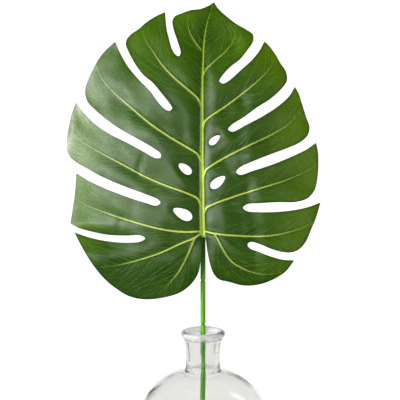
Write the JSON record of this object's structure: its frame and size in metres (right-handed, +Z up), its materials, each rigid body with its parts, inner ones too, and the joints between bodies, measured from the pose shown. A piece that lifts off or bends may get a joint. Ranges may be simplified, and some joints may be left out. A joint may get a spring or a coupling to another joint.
{
  "type": "monstera leaf in vase",
  "caption": "Split monstera leaf on a slim jointed stem, standing in a clear glass bottle vase as table or shelf greenery.",
  "frame": {"origin": "centre of the vase's flat foot, on the surface it stands on", "axes": "+Z up, -Y the way the leaf's upper face looks, +X to the right as the face is seen"},
  "size_m": [0.2576, 0.135, 0.5089],
  "materials": {
    "clear_glass": "polished clear",
    "stem_green": "satin moulded plastic",
    "leaf_green": "soft satin with a waxy sheen"
  },
  "bodies": {
    "root": {"glass_vase": "clear_glass", "leaf_stem": "stem_green", "leaf_blade": "leaf_green"}
  },
  "joints": []
}
